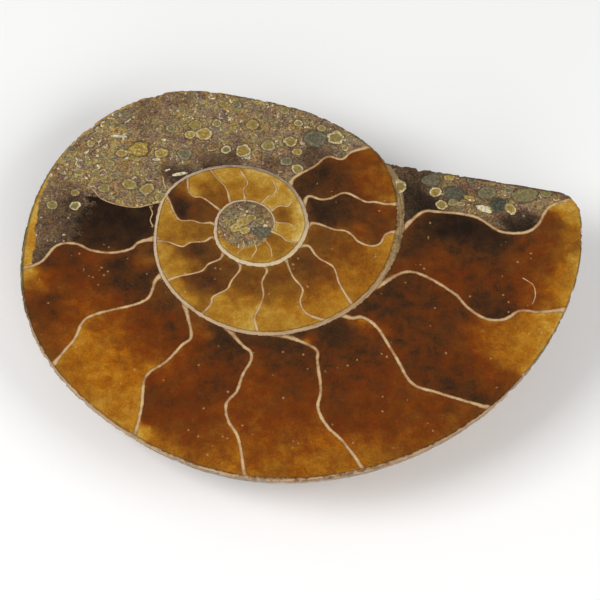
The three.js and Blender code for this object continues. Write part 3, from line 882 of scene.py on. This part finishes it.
def edge_rows(edge_angle):
    """Rows of points down the edge: round the bevel, then straight down to the flank."""
    reach = reach_to_outline(edge_angle)
    places = from_centre(edge_angle, reach)
    bottom = back_depth(last_turn_angle(places), length_of(places))
    rows = []
    for row in range(EDGE_ROWS):
        if row <= BEVEL_ROWS:
            turn = math.radians(90 * row / BEVEL_ROWS)
            depth = np.full(len(places), BEVEL * (1 - math.cos(turn)))
            bevel = BEVEL * (1 - math.sin(turn))
        else:
            depth = BEVEL + (bottom - BEVEL) * (row - BEVEL_ROWS) / (EDGE_ROWS - 1 - BEVEL_ROWS)
            bevel = 0
        inset = bevel + edge_inset(places, depth, bottom)
        rows.append(np.column_stack([from_centre(edge_angle, reach - inset), -depth]))
    return rows


def face_points(share, angle, edge_angle, rim_row):
    """The flat face, out to the first row of the edge."""
    rim_inset = reach_to_outline(edge_angle) - reach_of(rim_row)
    reach = reach_to_outline(angle) - np.interp(angle, edge_angle, rim_inset, period=TURN)
    places = from_centre(angle, reach * share ** FACE_CROWDING)
    return np.column_stack([places, np.zeros(len(places))])


def back_points(share, angle, edge_angle, lowest_row):
    """The domed flank, in from the last row of the edge."""
    reach = np.interp(angle, edge_angle, reach_of(lowest_row), period=TURN)
    places = from_centre(angle, reach * share ** BACK_CROWDING)
    depth = back_depth(last_turn_angle(places), length_of(places))
    rim_gap, _ = nearest(outline_points(), places)
    height = row_points(np.column_stack([places, -depth]))[:, 2] / MM
    relief = flank_relief(places, rim_gap) * np.clip(height / WORN_HEIGHT, WORN_RELIEF, 1)
    depth = np.maximum(depth - SKIN - relief, RIM_DEPTH)
    return np.column_stack([places, -depth])


def back_polygons(numbers, lowest_row):
    """The back's cells, turned outward. Those at its border take in the edge's points between theirs."""
    halfway = dict(zip(zip(lowest_row[::2], np.roll(lowest_row, -2)[::2]), lowest_row[1::2]))
    polygons = []
    for corners in numbers[quads_of_grid(BACK_CELLS)]:
        cell = []
        for here, there in zip(corners, np.roll(corners, -1)):
            cell.append(int(here))
            if (here, there) in halfway:
                cell.append(int(halfway[here, there]))
        polygons.append(cell[::-1])
    return polygons


def surface():
    """Points of the stone in the face's frame, its polygons, and which part each polygon is."""
    share, angle = disc_grid(FACE_CELLS)
    border = border_of_grid(FACE_CELLS)
    edge_angle = angle[border]
    columns = len(border)
    rows = edge_rows(edge_angle)
    face = face_points(share, angle, edge_angle, rows[0])
    back = back_points(*disc_grid(BACK_CELLS), edge_angle, rows[-1])

    # The face's border is the edge's first row, and every second point of its last row is the back's.
    below_face = len(face) + columns * np.arange(EDGE_ROWS - 1)
    row_numbers = [border] + [first + np.arange(columns) for first in below_face]
    back_border = border_of_grid(BACK_CELLS)
    inner = np.setdiff1d(np.arange(len(back)), back_border)
    back_numbers = np.zeros(len(back), int)
    back_numbers[inner] = below_face[-1] + columns + np.arange(len(inner))
    back_numbers[back_border] = row_numbers[-1][::2]

    polygons = quads_of_grid(FACE_CELLS).tolist()
    parts = [FACE_PART] * len(polygons)
    broken = last_turn_angle(from_centre(edge_angle, reach_to_outline(edge_angle))) > MOUTH_ANGLE
    side_parts = np.where(broken, BREAK_PART, FLANK_PART).tolist()
    for row, (upper, lower) in enumerate(zip(row_numbers, row_numbers[1:]), start=1):
        polygons += np.stack([upper, lower, np.roll(lower, -1), np.roll(upper, -1)], axis=-1).tolist()
        parts += [FACE_PART] * columns if row <= BEVEL_ROWS else side_parts
    flank_cells = back_polygons(back_numbers, row_numbers[-1])
    polygons += flank_cells
    parts += [FLANK_PART] * len(flank_cells)
    return np.vstack([face, *rows[1:], back[inner]]), polygons, parts


# ---------------------------------------------------------------- materials


class Nodes:
    """A short way to write a material's nodes. All sizes are in millimetres."""

    def __init__(self, name):
        self.material = bpy.data.materials.new(name)
        self.material.use_nodes = True
        self.tree = self.material.node_tree
        self.shader = self.tree.nodes["Principled BSDF"]
        place = self.add("ShaderNodeTexCoord").outputs["Object"]
        self.place = self.vector("SCALE", place, factor=1 / MM)

    def add(self, kind, **settings):
        node = self.tree.nodes.new(kind)
        for name, value in settings.items():
            setattr(node, name, value)
        return node

    def feed(self, socket, value):
        if isinstance(value, bpy.types.NodeSocket):
            self.tree.links.new(value, socket)
        elif isinstance(value, tuple) and len(socket.default_value) == 4:
            socket.default_value = (*value, 1)
        else:
            socket.default_value = value

    def math(self, operation, *values, clamp=False):
        node = self.add("ShaderNodeMath", operation=operation, use_clamp=clamp)
        for socket, value in zip(node.inputs, values):
            self.feed(socket, value)
        return node.outputs[0]

    def times(self, first, second):
        return self.math("MULTIPLY", first, second)

    def plus(self, first, second):
        return self.math("ADD", first, second)

    def vector(self, operation, *values, factor=None):
        node = self.add("ShaderNodeVectorMath", operation=operation)
        for socket, value in zip(node.inputs, values):
            self.feed(socket, value)
        if factor is not None:
            self.feed(node.inputs["Scale"], factor)
        return node.outputs["Vector"]

    def attribute(self, name):
        """One of the named numbers that the mesh carries at each point."""
        return self.add("ShaderNodeAttribute", attribute_name=name).outputs["Fac"]

    def noise(self, size, detail=3, roughness=0.55, warp=0.0, place=None):
        node = self.add("ShaderNodeTexNoise")
        self.feed(node.inputs["Vector"], place or self.place)
        self.feed(node.inputs["Scale"], 1 / size)
        self.feed(node.inputs["Detail"], detail)
        self.feed(node.inputs["Roughness"], roughness)
        self.feed(node.inputs["Distortion"], warp)
        return node.outputs["Fac"]

    def cells(self, size, feature="F1", place=None):
        node = self.add("ShaderNodeTexVoronoi", feature=feature)
        self.feed(node.inputs["Vector"], place or self.place)
        self.feed(node.inputs["Scale"], 1 / size)
        return node

    def rise(self, value, low, high, start=0.0, end=1.0):
        """A smooth step from start, at low, to end, at high."""
        node = self.add("ShaderNodeMapRange", interpolation_type="SMOOTHSTEP")
        for name, number in zip(("Value", "From Min", "From Max", "To Min", "To Max"),
                                (value, low, high, start, end)):
            self.feed(node.inputs[name], number)
        return node.outputs["Result"]

    def sway(self, noise, amount, low=0.3):
        """Noise as a number from minus to plus an amount."""
        return self.rise(noise, low, 1 - low, -amount, amount)

    def ramp(self, value, stops):
        """Colours from a list of (place, colour), read at a value on the scale of its places."""
        low, high = stops[0][0], stops[-1][0]
        node = self.add("ShaderNodeValToRGB")
        elements = node.color_ramp.elements
        elements.remove(elements[-1])
        elements[0].position = 0
        elements[0].color = (*stops[0][1], 1)
        for place, colour in stops[1:]:
            elements.new((place - low) / (high - low)).color = (*colour, 1)
        self.feed(node.inputs["Fac"], self.rise_evenly(value, low, high))
        return node.outputs["Color"]

    def rise_evenly(self, value, low, high):
        """A share that goes evenly from 0, at low, to 1, at high."""
        return self.math("DIVIDE", self.math("SUBTRACT", value, low), high - low, clamp=True)

    def drift(self, size, amount):
        """The place in millimetres, pushed about by noise."""
        node = self.add("ShaderNodeTexNoise")
        self.feed(node.inputs["Vector"], self.place)
        self.feed(node.inputs["Scale"], 1 / size)
        push = self.vector("SUBTRACT", node.outputs["Color"], (0.5, 0.5, 0.5))
        return self.vector("ADD", self.place, self.vector("SCALE", push, factor=amount))

    def parts(self, colour):
        """The red, green and blue of a colour."""
        node = self.add("ShaderNodeSeparateColor")
        self.feed(node.inputs[0], colour)
        return node.outputs[:3]

    def mix(self, share, first, second, blend="MIX"):
        node = self.add("ShaderNodeMix", data_type="RGBA", blend_type=blend, clamp_factor=True)
        self.feed(node.inputs["Factor"], share)
        self.feed(node.inputs[6], first)
        self.feed(node.inputs[7], second)
        return node.outputs[2]

    def blend(self, share, first, second):
        """A mix of two numbers."""
        return self.plus(first, self.times(share, self.math("SUBTRACT", second, first)))

    def finish(self, height, distance, inputs):
        """The material, from the shader's inputs by name and a relief of small height."""
        node = self.add("ShaderNodeBump")
        self.feed(node.inputs["Height"], height)
        self.feed(node.inputs["Distance"], distance * MM)
        for name, value in {**inputs, "Normal": node.outputs["Normal"]}.items():
            self.feed(self.shader.inputs[name], value)
        return self.material


AMBER_CALCITE = [
    (0.0, (0.012, 0.006, 0.003)), (0.1, (0.040, 0.016, 0.005)), (0.2, (0.085, 0.022, 0.003)),
    (0.3, (0.115, 0.025, 0.002)), (0.45, (0.158, 0.034, 0.002)), (0.6, (0.218, 0.057, 0.002)),
    (0.75, (0.33, 0.107, 0.003)), (0.9, (0.42, 0.19, 0.012)), (1.0, (0.49, 0.28, 0.035)),
]
OLIVE_CALCITE = [
    (0.0, (0.014, 0.007, 0.004)), (0.1, (0.042, 0.018, 0.006)), (0.2, (0.080, 0.029, 0.007)),
    (0.4, (0.135, 0.050, 0.007)), (0.6, (0.21, 0.087, 0.008)), (0.75, (0.30, 0.138, 0.012)),
    (0.9, (0.39, 0.215, 0.028)), (1.0, (0.48, 0.32, 0.075)), (1.25, (0.66, 0.50, 0.25)),
]
GRAIN_TINTS = [
    (0.0, (0.044, 0.046, 0.032)), (0.25, (0.125, 0.112, 0.072)), (0.5, (0.215, 0.170, 0.055)),
    (0.75, (0.27, 0.17, 0.038)), (0.88, (0.40, 0.29, 0.07)), (1.0, (0.60, 0.54, 0.38)),
]
MOSAIC_TINTS = [
    (0.0, (0.155, 0.090, 0.070)), (0.2, (0.220, 0.150, 0.095)), (0.4, (0.250, 0.190, 0.095)),
    (0.6, (0.300, 0.235, 0.075)), (0.72, (0.340, 0.225, 0.060)), (0.84, (0.300, 0.150, 0.050)),
    (1.0, (0.205, 0.200, 0.125)),
]
RUBY = (0.14, 0.018, 0.003)
PALE_SPECK = (0.48, 0.27, 0.11)
PALE_SPECKS = ((0.5, 0.34, 0.6), (1.1, 0.17, 0.7))  # distance apart, radius as a share of it, strength
MOSAIC_SIZES = (0.85, 0.5)
# The larger grains of the mosaic: distance apart, radius as a share of it, how many of the cells hold
# one, and how far noise pushes their outlines.
ROUNDED_GRAINS = ((1.25, 0.40, 0.5, 0.3), (0.62, 0.36, 0.45, 0.2))
CRESCENT = (0.60, 0.50, 0.31)
WHITE_SPECK = (0.60, 0.54, 0.40)
MATRIX_SHADOW = (0.030, 0.018, 0.011)
DARK_MATRIX = (0.24, 0.125, 0.075)  # the tint of the mosaic where it's dark, before it's darkened
WALL_COLOURS = [  # by the turn of the shell, from the first chamber out
    (-2.0, (0.42, 0.33, 0.20)), (-1.5, (0.54, 0.42, 0.27)), (-1.3, (0.64, 0.51, 0.33)),
    (-1.05, (0.60, 0.45, 0.26)), (-0.85, (0.26, 0.19, 0.13)), (-0.7, (0.27, 0.19, 0.14)),
    (-0.55, (0.56, 0.42, 0.28)), (-0.3, (0.52, 0.36, 0.22)), (-0.12, (0.38, 0.24, 0.12)),
    (-0.03, (0.29, 0.19, 0.08)), (0.06, (0.24, 0.155, 0.065)), (0.12, (0.16, 0.11, 0.055)),
    (0.2, (0.10, 0.075, 0.045)), (0.42, (0.12, 0.085, 0.05)), (0.47, (0.10, 0.09, 0.045)),
    (0.56, (0.10, 0.09, 0.045)), (0.6, (0.36, 0.25, 0.15)), (0.75, (0.42, 0.28, 0.16)),
    (0.88, (0.30, 0.20, 0.11)), (0.93, (0.11, 0.095, 0.05)), (1.02, (0.07, 0.065, 0.035)),
]


def calcite_colour(n):
    """Clear calcite, from its tone: slow clouds, small crystals and a few pale specks."""
    cloud = n.noise(1.4, 5, 0.62, 0.3)
    fine = n.noise(0.22, 3, 0.6)
    crystal = n.parts(n.cells(0.9, "SMOOTH_F1", n.drift(0.8, 0.6)).outputs["Color"])[0]
    tone = n.attribute("tone")
    change = n.sway(cloud, 0.11, 0.25)
    change = n.plus(change, n.sway(fine, 0.065, 0.25))
    change = n.plus(change, n.times(n.math("SUBTRACT", crystal, 0.5), 0.08))
    tone = n.plus(tone, n.times(change, n.rise(tone, 0, 0.3, 0.35, 1)))
    olive = n.math("ADD", n.attribute("olive"), n.sway(n.noise(2.2, 2), 0.2), clamp=True)
    colour = n.mix(olive, n.ramp(tone, AMBER_CALCITE), n.ramp(tone, OLIVE_CALCITE))
    ruby = n.times(n.rise(n.noise(1.3, 2), 0.52, 0.72), n.rise(tone, 0.7, 0.45))
    ruby = n.times(ruby, n.rise(tone, 0.12, 0.3))
    colour = n.mix(n.times(ruby, 0.5), colour, RUBY)
    gathered = n.math("MAXIMUM", n.rise(n.noise(2.4, 1), 0.52, 0.66, 0, 0.3), n.attribute("flecks"))
    for size, radius, amount in PALE_SPECKS:
        speck = n.cells(size, place=n.drift(0.3, 0.2))
        chosen = n.math("LESS_THAN", n.parts(speck.outputs["Color"])[0], n.times(gathered, 0.45))
        lit = n.times(n.rise(speck.outputs["Distance"], radius, radius * 0.3, 0, amount), chosen)
        colour = n.mix(lit, colour, PALE_SPECK)
    return colour


def rounded_grains(n, size, radius, amount, push):
    """Rounded grains at random places: where they are, their tints, pale crescents and dark margins."""
    cell = n.cells(size, place=n.drift(0.45, push))
    chosen = n.parts(cell.outputs["Color"])
    distance = n.plus(cell.outputs["Distance"], n.sway(n.noise(0.3, 3), 0.09, 0.2))
    present = n.math("LESS_THAN", chosen[0], amount)
    inside = n.times(n.rise(distance, radius + 0.03, radius - 0.04), present)
    tint = n.ramp(n.math("FRACT", n.times(chosen[1], 7)), MOSAIC_TINTS)
    # A crescent lies on the side of the grain that its own random direction points to.
    from_middle = n.vector("SUBTRACT", n.place, cell.outputs["Position"])
    heading = n.vector("SUBTRACT", cell.outputs["Color"], (0.5, 0.5, 0.5))
    facing = n.add("ShaderNodeVectorMath", operation="DOT_PRODUCT")
    n.feed(facing.inputs[0], from_middle)
    n.feed(facing.inputs[1], heading)
    rim = n.times(n.rise(distance, radius - 0.14, radius - 0.08), inside)
    crescent = n.times(rim, n.rise(facing.outputs["Value"], 0.02 * size, 0.08 * size))
    margin = n.times(n.rise(distance, radius + 0.15, radius), present)
    return inside, tint, crescent, margin


def sediment_colour(n, with_attributes):
    """A dense mosaic of grains in olive, ochre and purple brown, darkened where the matrix is dark."""
    brightness = n.noise(3.0, 3, 0.6)
    if with_attributes:
        brightness = n.plus(n.attribute("matrix"), n.sway(brightness, 0.1))
    fine = n.noise(0.2, 4, 0.7)
    lit = n.rise(brightness, 0.06, 0.4)
    gain = n.times(n.rise(brightness, 0.0, 0.8, 0.10, 1.12), n.rise(fine, 0.3, 0.7, 0.3, 1.55))

    broad = n.sway(n.noise(1.8, 2), 0.2)
    layers = []
    for size in MOSAIC_SIZES:
        random = n.parts(n.cells(size, place=n.drift(0.5, 0.55)).outputs["Color"])[0]
        layers.append(n.ramp(n.plus(random, broad), MOSAIC_TINTS))
    colour = n.mix(0.5, *layers)
    edge = n.cells(MOSAIC_SIZES[0], "DISTANCE_TO_EDGE", n.drift(0.5, 0.55)).outputs["Distance"]
    colour = n.mix(n.rise(edge, 0.10, 0.0, 0, 0.4), colour, MATRIX_SHADOW)
    for size, radius, amount, push in ROUNDED_GRAINS:
        inside, tint, crescent, margin = rounded_grains(n, size, radius, amount, push)
        colour = n.mix(n.times(margin, 0.55), colour, MATRIX_SHADOW)
        colour = n.mix(n.times(inside, 0.8), colour, tint)
        colour = n.mix(n.times(crescent, 0.95), colour, CRESCENT)
    colour = n.mix(n.rise(brightness, 0.85, 0.15, 0, 0.65), colour, DARK_MATRIX)
    colour = n.vector("SCALE", colour, factor=gain)
    speck = n.cells(0.75, place=n.drift(0.3, 0.35))
    chosen = n.math("LESS_THAN", n.parts(speck.outputs["Color"])[1], 0.34)
    white = n.times(n.rise(speck.outputs["Distance"], 0.2, 0.11), n.times(chosen, lit))
    return n.mix(n.times(white, 0.8), colour, WHITE_SPECK)


def line_share(n, name, wobble):
    """Distance from a line's middle as a share of its half width, and how far the line reaches."""
    gap = n.math("ABSOLUTE", n.attribute(name + "_side"))
    width = n.attribute(name + "_width")
    ragged = n.sway(n.noise(0.45, 4, 0.65), wobble)
    share = n.plus(n.math("DIVIDE", gap, width), ragged)
    beyond = n.math("SUBTRACT", n.attribute(name + "_gap"), width)
    return share, n.rise(beyond, 0.2, 0.12)


GRAIN_RING = (0.56, 0.47, 0.28)
# painted shadow along both sides of a septum's pale line
SEPTUM_SHADOW = (0.040, 0.016, 0.004)
DARK_STREAK = (0.22, 0.17, 0.13)
PALE_STREAK = (0.60, 0.45, 0.27)
WALL_BLOTCH = (0.060, 0.034, 0.014)
# painted shadow along both sides of a wall's pale line
WALL_SHADOW = (0.035, 0.017, 0.007)
WORN_EDGE = (0.07, 0.048, 0.03)
CALCITE_ROUGHNESS = 0.14
SEDIMENT_ROUGHNESS = 0.32
LINE_ROUGHNESS = 0.28
SEPTUM_COLOURS = [
    (0.30, (0.24, 0.12, 0.045)), (0.46, (0.40, 0.24, 0.115)), (0.60, (0.52, 0.36, 0.19)),
    (0.74, (0.62, 0.42, 0.20)),
]


def placed_grains(n, sediment):
    """The sediment with grains placed one by one, where they are, and their colour."""
    share = n.plus(n.attribute("grain"), n.sway(n.noise(0.7, 1), 0.13))
    tint = n.plus(n.attribute("grain_tint"), n.sway(n.noise(0.25, 3), 0.12))
    grain = n.ramp(tint, GRAIN_TINTS)
    ring = n.times(n.rise(share, 0.68, 0.8), n.attribute("grain_rim"))
    ring = n.times(ring, n.rise(n.noise(0.6, 2), 0.35, 0.6, 0.35, 1))
    grain = n.mix(ring, grain, GRAIN_RING)
    grain = n.vector("SCALE", grain, factor=n.rise(n.noise(0.3, 4, 0.7), 0.3, 0.7, 0.65, 1.3))
    sediment = n.mix(n.rise(share, 1.4, 1.02, 0, 0.65), sediment, MATRIX_SHADOW)
    placed = n.rise(share, 1.06, 0.94)
    return n.mix(placed, sediment, grain), placed, grain


def septa(n, colour):
    """The colour with the septa over it, pale with a painted shadow along each side, and where they are."""
    patch = n.noise(1.1, 3, 0.6)
    share, near = line_share(n, "septum", 0.2)
    septum = n.times(n.rise(share, 1.35, 0.75), near)
    pale = n.ramp(n.math("SUBTRACT", patch, n.rise(share, 0.2, 1.2, -0.08, 0.16)), SEPTUM_COLOURS)
    # painted shadow just beyond the septum's pale line, on both sides
    margin = n.times(n.rise(share, 2.4, 1.0, 0, 0.22), near)
    colour = n.mix(margin, colour, SEPTUM_SHADOW)
    return n.mix(n.times(septum, 0.92), colour, pale), septum


def walls(n, colour):
    """The colour with the walls over it, streaked along their length, with a painted shadow along each
    side, and where they are.
    """
    share, near = line_share(n, "wall", 0.26)
    wall = n.times(n.rise(share, 1.3, 0.75), near)
    streaked = n.add("ShaderNodeCombineXYZ")
    n.feed(streaked.inputs[0], n.times(n.attribute("wall_side"), 7))
    n.feed(streaked.inputs[1], n.times(n.attribute("wall_turn"), 40))
    streak = n.noise(1.0, 3, 0.6, place=streaked.outputs[0])
    tone = n.ramp(n.attribute("wall_turn"), WALL_COLOURS)
    dark = n.mix(0.8, tone, DARK_STREAK, "MULTIPLY")
    tone = n.mix(n.rise(streak, 0.52, 0.68, 0, 0.65), tone, dark)
    tone = n.mix(n.rise(streak, 0.48, 0.34, 0, 0.5), tone, PALE_STREAK)
    thick = n.rise(n.attribute("wall_width"), 0.26, 0.4)
    blotch = n.times(n.rise(n.noise(0.9, 4, 0.7), 0.45, 0.6, 0, 0.75), thick)
    tone = n.mix(blotch, tone, WALL_BLOTCH)
    # painted shadow just beyond the wall's pale line, on both sides
    seam = n.times(n.rise(share, 2.3, 1.1, 0, 0.6), near)
    colour = n.mix(seam, colour, WALL_SHADOW)
    wide = n.rise(n.attribute("wall_width"), 0.3, 0.6, 0.95, 0.72)
    return n.mix(n.times(wall, wide), colour, tone), wall


def worn_mouth(n, colour):
    """The colour with the dark, worn edge of the broken mouth."""
    in_mouth = n.rise(n.attribute("around"), (MOUTH_ANGLE - 1) / TURN, (MOUTH_ANGLE + 1) / TURN)
    edge = n.times(n.rise(n.attribute("rim"), 0.2, 0.45, 1, 0), in_mouth)
    return n.mix(n.times(edge, 0.75), colour, WORN_EDGE)


def cut_face():
    """The polished face: calcite chambers, sediment, septa and walls."""
    n = Nodes("cut_face")
    calcite = calcite_colour(n)
    sediment, placed, grain = placed_grains(n, sediment_colour(n, True))
    field = n.plus(n.attribute("sediment"), n.sway(n.noise(0.8, 4, 0.65), 0.15))
    in_sediment = n.rise(field, -0.06, 0.1)
    colour = n.mix(in_sediment, calcite, sediment)
    colour, septum = septa(n, colour)
    colour, wall = walls(n, colour)
    colour = n.mix(n.times(placed, in_sediment), colour, grain)
    colour = worn_mouth(n, colour)

    on_line = n.math("MAXIMUM", septum, wall)
    rough = n.blend(in_sediment, CALCITE_ROUGHNESS, SEDIMENT_ROUGHNESS)
    relief = n.plus(n.times(on_line, 0.3), n.times(n.noise(0.4, 3), in_sediment))
    return n.finish(relief, 0.03, {
        "Base Color": colour,
        "Roughness": n.blend(on_line, rough, LINE_ROUGHNESS),
        "Specular IOR Level": 0.18,
        "Subsurface Weight": 0.15,
        "Subsurface Radius": (1.0, 0.45, 0.12),
        "Subsurface Scale": 0.8 * MM,
    })


FLANK_BROWN = (0.24, 0.13, 0.06)
SUTURES_PER_TURN = 15
# Waves of a suture line: how many radians of them lie across the whorl, and how far they reach, as a
# share of the way to the next line.
SUTURE_WAVES = ((19, 0.10), (71, 0.045))
SUTURE = (0.42, 0.29, 0.16)
GROWTH_LINES = 900  # radians of them in a turn
GROWTH_LEAN = 9
GROWTH = (0.05, 0.025, 0.01)
FLANK_MATRIX = (0.030, 0.035, 0.022)
PATCH_SHIFT = (31.0, 5.0, 12.0)
FLANK_RIM = (0.30, 0.22, 0.15)
BARE_BREAK = (0.12, 0.085, 0.05)


def flank():
    """The glossy domed side: shell in ambers and browns, dark matrix patches and suture lines."""
    n = Nodes("flank")
    broad = n.noise(11, 3, 0.55, 0.6)
    cloud = n.noise(2.4, 4, 0.6, 0.5)
    fine = n.noise(0.35, 4, 0.6)
    tone = n.plus(n.rise(broad, 0.3, 0.7, 0.25, 0.95), n.sway(cloud, 0.2, 0.25))
    tone = n.plus(tone, n.sway(fine, 0.06, 0.25))
    colour = n.ramp(tone, AMBER_CALCITE)
    colour = n.mix(0.35, colour, FLANK_BROWN)

    share = n.attribute("flank_share")
    turn = n.attribute("flank_turn")
    waves = [n.times(n.math("SINE", n.times(share, count)), reach) for count, reach in SUTURE_WAVES]
    along = n.plus(n.times(turn, SUTURES_PER_TURN), n.plus(*waves))
    along = n.plus(along, n.sway(n.noise(0.8, 3), 0.04))
    from_line = n.math("ABSOLUTE", n.math("SUBTRACT", n.math("FRACT", along), 0.5))
    on_calcite = n.rise(n.attribute("flank_fill"), -0.1, -1)
    suture = n.times(n.rise(from_line, 0.012, 0.03, 1, 0), on_calcite)
    colour = n.mix(n.times(suture, 0.75), colour, SUTURE)

    growth = n.math("SINE", n.plus(n.times(turn, GROWTH_LINES), n.times(share, GROWTH_LEAN)))
    colour = n.mix(n.rise(growth, 0.3, 1, 0, 0.10), colour, GROWTH)

    matrix = sediment_colour(n, False)
    matrix = n.mix(0.55, matrix, FLANK_MATRIX)
    patches = n.noise(7, 4, 0.6, 0.4, place=n.vector("ADD", n.place, PATCH_SHIFT))
    patches = n.math("MAXIMUM", n.rise(patches, 0.53, 0.56), n.rise(n.attribute("flank_fill"), -0.2, 0.2))
    colour = n.mix(patches, colour, matrix)
    pinkish = n.rise(n.attribute("rim"), 0.4, 2.6, 0.6, 0)
    colour = n.mix(pinkish, colour, FLANK_RIM)
    relief = n.plus(n.times(n.noise(0.5, 4), n.blend(patches, 0.3, 1.0)), n.times(growth, 0.08))
    return n.finish(relief, 0.08, {
        "Base Color": colour,
        "Roughness": n.blend(patches, 0.2, 0.4),
        "Specular IOR Level": 0.5,
    })


def broken_edge():
    """The rough break across the mouth: bare sediment."""
    n = Nodes("broken_edge")
    colour = n.mix(0.3, sediment_colour(n, False), BARE_BREAK)
    return n.finish(n.noise(0.6, 5, 0.65), 0.25, {"Base Color": colour, "Roughness": 0.75})


# ---------------------------------------------------------------- the stone


def flank_facts(places):
    """What the flank's material needs to know at each place."""
    angle = last_turn_angle(places)
    radius = length_of(places)
    seam = UMBILICUS * wall_radius(angle)
    fill = FILL_DEPTH * np.sqrt(np.clip(1 - (radius / FILL_RADIUS) ** 2, 0, 1))
    return {
        "flank_turn": angle / TURN,
        "flank_share": np.clip((radius - seam) / (wall_radius(angle) - seam), 0, 1),
        "flank_fill": fill - whorl_depth(angle, radius),
    }


def ammonite():
    """The stone, with the numbers that its materials read at each point."""
    points, polygons, parts = surface()
    mesh = bpy.data.meshes.new("ammonite")
    mesh.from_pydata(row_points(points).tolist(), [], polygons)
    for material in (cut_face(), flank(), broken_edge()):
        mesh.materials.append(material)
    mesh.polygons.foreach_set("material_index", parts)
    mesh.polygons.foreach_set("use_smooth", [True] * len(polygons))
    places = points[:, :2]
    rim_gap, _ = nearest(outline_points(), places)
    for name, values in {**face_facts(places, rim_gap), **flank_facts(places)}.items():
        layer = mesh.attributes.new(name, "FLOAT", "POINT")
        layer.data.foreach_set("value", np.asarray(values, np.float32))
    mesh.update()
    return add_object("ammonite", mesh)


# ---------------------------------------------------------------- the scene

stone = ammonite()
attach(stone, "root")
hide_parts(NODE)
add_camera()
add_floor()
add_lights()
